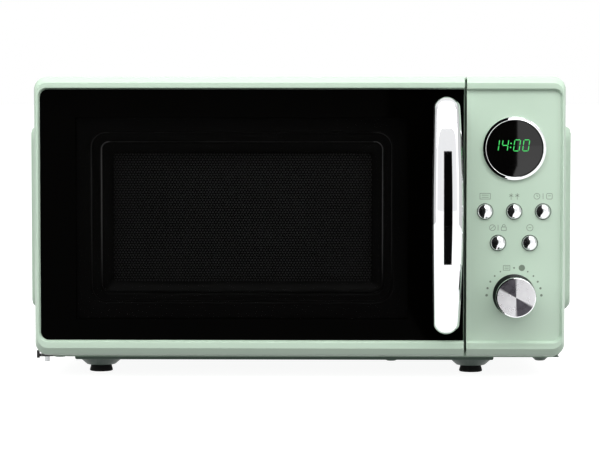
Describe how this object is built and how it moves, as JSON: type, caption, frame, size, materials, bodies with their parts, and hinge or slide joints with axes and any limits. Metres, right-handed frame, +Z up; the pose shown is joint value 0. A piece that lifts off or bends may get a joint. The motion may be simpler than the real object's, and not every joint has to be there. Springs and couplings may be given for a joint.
{
  "type": "microwave oven",
  "caption": "Retro mint green countertop microwave oven with a bowed chrome handle, side-hinged glass door, round clock display, domed push buttons and a rotary knob.",
  "frame": {"origin": "on the resting plane, under the middle of the overall box", "axes": "+X right as seen from the front, the door faces -Y, +Z up"},
  "size_m": [0.4716, 0.364, 0.2587],
  "materials": {
    "mint_plastic": "glossy moulded plastic, mint green",
    "mint_steel": "gloss enamel paint, mint green",
    "door_glass": "tinted and black-printed glass",
    "chrome": "bright chrome plate",
    "spun_aluminium": "spun face",
    "black_plastic": "satin",
    "black_steel": "satin black enamel",
    "grey_plastic": "satin",
    "white_plastic": "satin",
    "zinc_steel": "zinc plated",
    "cavity_enamel": "light grey enamel",
    "clear_film": "clear film",
    "clear_glass": "pressed clear glass",
    "display_lens": "smoked lens",
    "rubber": "matt black",
    "circuit_board": "solder resist",
    "lamination": "varnished laminations",
    "mica": "pressed mica",
    "lamp": "ceramic socket"
  },
  "bodies": {
    "cabinet": {"hinge_brackets": "black_steel", "hinge_pins": "zinc_steel", "control_panel": "mint_plastic", "display_ring": "chrome", "display_lens": "display_lens", "display_module": "black_plastic", "control_board": "circuit_board", "tact_switches": "black_plastic", "knob_collar": "black_plastic", "knob_encoder": "zinc_steel", "outer_casing": "mint_steel", "base_plate": "mint_steel", "rubber_feet": "rubber", "rear_panel": "zinc_steel", "cord_gland": "black_plastic", "rear_spacers": "black_plastic", "casing_screws": "zinc_steel", "front_plate": "mint_steel", "cavity": "cavity_enamel", "waveguide_cover": "mica", "turntable_motor": "zinc_steel", "cavity_lamp": "lamp", "interlock_bracket": "white_plastic", "interlock_switches": "black_plastic", "waveguide": "zinc_steel", "magnetron": "zinc_steel", "transformer": "lamination", "capacitor": "spun_aluminium", "high_voltage_diode": "black_plastic", "filter_board": "circuit_board", "fan_shroud": "zinc_steel", "fan_motor": "lamination", "air_duct": "black_plastic", "thermal_cutouts": "black_plastic"},
    "door": {"door_frame": "mint_plastic", "door_glass": "door_glass", "window_plate": "black_steel", "screen_mesh": "black_steel", "choke_cover": "black_plastic", "inner_film": "clear_film", "handle": "chrome", "handle_screws": "zinc_steel", "latch_spring": "zinc_steel"},
    "latch": {"door_latch": "white_plastic"},
    "knob": {"knob": "chrome", "knob_face": "spun_aluminium", "knob_shaft": "zinc_steel"},
    "turntable": {"glass_turntable": "clear_glass", "drive_coupler": "white_plastic"},
    "roller_ring": {"roller_ring": "white_plastic"},
    "fan": {"fan_blade": "grey_plastic", "fan_shaft": "zinc_steel"},
    "button_1": {"button_1": "chrome"},
    "button_2": {"button_2": "chrome"},
    "button_3": {"button_3": "chrome"},
    "button_4": {"button_4": "chrome"},
    "button_5": {"button_5": "chrome"},
    "roller_1": {"roller_1": "white_plastic"},
    "roller_2": {"roller_2": "white_plastic"},
    "roller_3": {"roller_3": "white_plastic"}
  },
  "joints": [
    {"name": "door_hinge", "type": "hinge", "parent": "cabinet", "child": "door", "pos_m": [-0.2186, -0.127, 0.1396], "axis": [0, 0, -1], "range_deg": [0, 100]},
    {"name": "latch_lift", "type": "slide", "parent": "door", "child": "latch", "axis": [0, 0, 1], "range_m": [0, 0.003], "stiffness_N_per_m": 250},
    {"name": "knob_turn", "type": "hinge", "parent": "cabinet", "child": "knob", "pos_m": [0.183, -0.15, 0.0726], "axis": [0, 1, 0], "continuous": true},
    {"name": "turntable_spin", "type": "hinge", "parent": "cabinet", "child": "turntable", "pos_m": [-0.055, 0.0225, 0.037], "axis": [0, 0, 1], "continuous": true},
    {"name": "roller_ring_spin", "type": "hinge", "parent": "cabinet", "child": "roller_ring", "pos_m": [-0.055, 0.0225, 0.0423], "axis": [0, 0, 1], "continuous": true},
    {"name": "fan_spin", "type": "hinge", "parent": "cabinet", "child": "fan", "pos_m": [0.162, 0.13, 0.157], "axis": [0, 1, 0], "continuous": true},
    {"name": "button_1_press", "type": "slide", "parent": "cabinet", "child": "button_1", "axis": [0, 1, 0], "range_m": [0, 0.0012], "stiffness_N_per_m": 400},
    {"name": "button_2_press", "type": "slide", "parent": "cabinet", "child": "button_2", "axis": [0, 1, 0], "range_m": [0, 0.0012], "stiffness_N_per_m": 400},
    {"name": "button_3_press", "type": "slide", "parent": "cabinet", "child": "button_3", "axis": [0, 1, 0], "range_m": [0, 0.0012], "stiffness_N_per_m": 400},
    {"name": "button_4_press", "type": "slide", "parent": "cabinet", "child": "button_4", "axis": [0, 1, 0], "range_m": [0, 0.0012], "stiffness_N_per_m": 400},
    {"name": "button_5_press", "type": "slide", "parent": "cabinet", "child": "button_5", "axis": [0, 1, 0], "range_m": [0, 0.0012], "stiffness_N_per_m": 400},
    {"name": "roller_1_spin", "type": "hinge", "parent": "roller_ring", "child": "roller_1", "pos_m": [-0.13727, 0.07, 0.0423], "axis": [-0.866, 0.5, 0], "continuous": true},
    {"name": "roller_2_spin", "type": "hinge", "parent": "roller_ring", "child": "roller_2", "pos_m": [-0.055, -0.0725, 0.0423], "axis": [0, -1, 0], "continuous": true},
    {"name": "roller_3_spin", "type": "hinge", "parent": "roller_ring", "child": "roller_3", "pos_m": [0.02727, 0.07, 0.0423], "axis": [0.866, 0.5, 0], "continuous": true}
  ],
  "couplings": [
    {"joint": "roller_ring_spin", "follows": "turntable_spin", "ratio": 0.5},
    {"joint": "roller_1_spin", "follows": "turntable_spin", "ratio": -5.9375},
    {"joint": "roller_2_spin", "follows": "turntable_spin", "ratio": -5.9375},
    {"joint": "roller_3_spin", "follows": "turntable_spin", "ratio": -5.9375}
  ]
}
